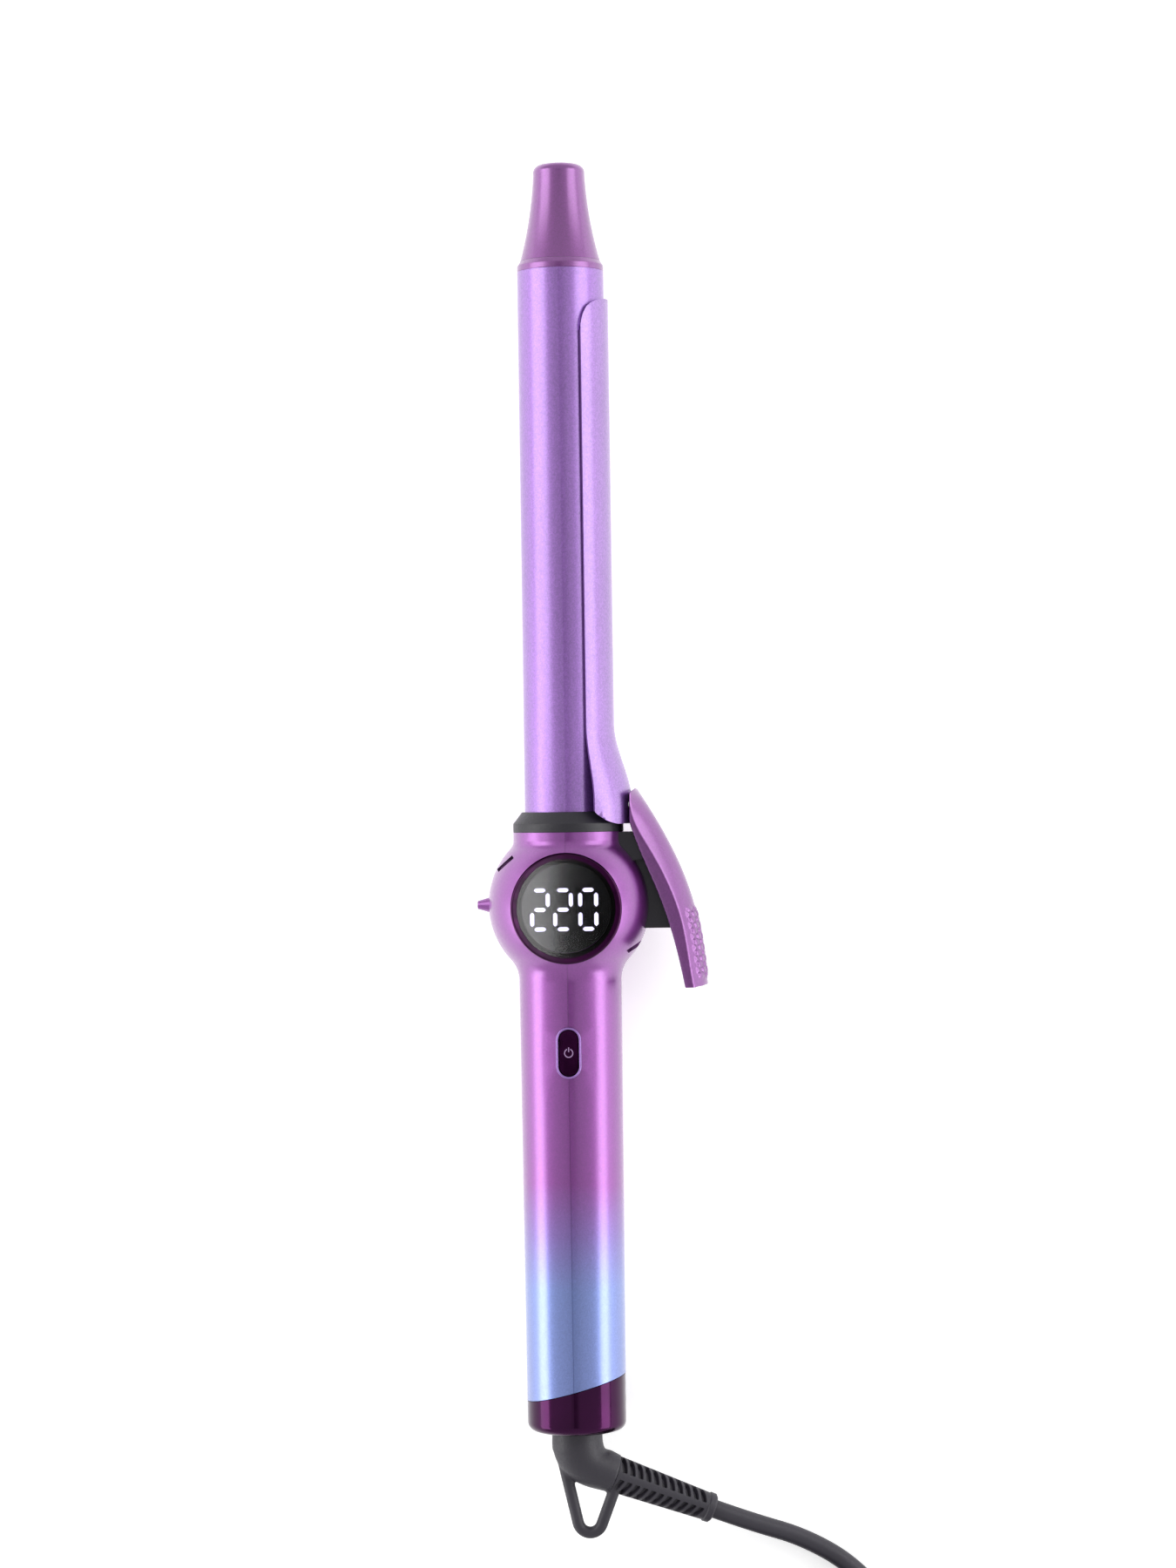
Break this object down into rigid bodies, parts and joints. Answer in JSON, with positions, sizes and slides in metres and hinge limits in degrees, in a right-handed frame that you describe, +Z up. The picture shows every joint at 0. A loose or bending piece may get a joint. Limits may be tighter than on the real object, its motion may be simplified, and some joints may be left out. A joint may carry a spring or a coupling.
{
  "type": "curling iron",
  "caption": "Curling iron with a heated barrel, spring clip and thumb lever, round hub with a digital display, power button, swivelling cord with hang loop and a two-pin plug.",
  "frame": {"origin": "centre of the rest pad under the hub, on the table", "axes": "+Z up through the display, +Y along the barrel to the tip, +X towards the thumb lever"},
  "size_m": [0.1605, 0.549, 0.0382],
  "materials": {
    "barrel_lilac": "pearl",
    "clip_lilac": "pearl",
    "tip_purple": "metallic satin",
    "shell_purple": "metallic satin, purple fading to blue",
    "black_plastic": "matte",
    "gloss_plum": "gloss",
    "black_gloss": "gloss",
    "lens_glass": "clear smoked",
    "digit_white": "lit",
    "steel": "plain",
    "aluminium": "plain",
    "ceramic": "matte ceramic",
    "brass": "plain",
    "board_green": "solder mask",
    "black_rubber": "matte",
    "mark_grey": "printed"
  },
  "bodies": {
    "handle": {"barrel_tube": "barrel_lilac", "tip_cap": "tip_purple", "tip_ring": "tip_purple", "tip_latch": "black_plastic", "shell_left": "shell_purple", "shell_right": "shell_purple", "barrel_holder": "black_plastic", "heat_collar": "black_plastic", "lever_bracket": "black_plastic", "insulating_sleeve": "ceramic", "display_bezel": "gloss_plum", "display_lens": "lens_glass", "display_module": "black_gloss", "display_digits": "digit_white", "button_rim": "gloss_plum", "power_switch": "black_plastic", "toggle_switch": "black_plastic", "end_cap": "gloss_plum", "main_board": "board_green", "relay": "black_plastic", "mains_capacitor": "black_gloss", "triac": "black_plastic", "heat_sink": "aluminium", "line_fuse": "ceramic", "heater_core": "ceramic", "heat_spreader_front": "aluminium", "heat_spreader_back": "aluminium", "temperature_sensor": "ceramic", "thermal_fuse": "steel", "heater_leads": "brass", "holder_screws": "steel", "shell_screws": "steel", "rest_pad": "black_rubber", "brush_contacts": "brass"},
    "clip_lever": {"clip_plate": "clip_lilac", "thumb_lever": "tip_purple", "clip_screws": "steel", "lever_grip_bars": "tip_purple", "hinge_pin": "steel", "clip_spring": "steel"},
    "power_button": {"power_button": "gloss_plum", "button_mark": "mark_grey"},
    "temp_toggle": {"temp_toggle": "shell_purple"},
    "cord_swivel": {"swivel_elbow": "black_rubber", "swivel_retainer": "steel", "slip_rings": "brass", "strain_sleeve": "black_rubber", "power_cord": "black_rubber", "cord_coil": "black_rubber", "cord_tail": "black_rubber", "cord_tie": "black_plastic", "plug_body": "black_plastic", "plug_pins": "steel"}
  },
  "joints": [
    {"name": "clip_hinge", "type": "hinge", "parent": "handle", "child": "clip_lever", "pos_m": [0.0249, 0.0189, 0.0182], "axis": [0, 0, -1], "range_deg": [0, 10], "stiffness_Nm_per_rad": 0.6, "springref_deg": -20.05, "deforming": ["clip_spring"]},
    {"name": "power_press", "type": "slide", "parent": "handle", "child": "power_button", "axis": [0, 0, -1], "range_m": [0, 0.0008], "stiffness_N_per_m": 600, "springref_m": -0.0005},
    {"name": "temp_rock", "type": "hinge", "parent": "handle", "child": "temp_toggle", "pos_m": [-0.0216, 0, 0.0182], "axis": [0, 0, 1], "range_deg": [-4, 4], "stiffness_Nm_per_rad": 0.05},
    {"name": "cord_turn", "type": "hinge", "parent": "handle", "child": "cord_swivel", "pos_m": [0, -0.172, 0.0182], "axis": [0, 1, 0], "continuous": true}
  ]
}
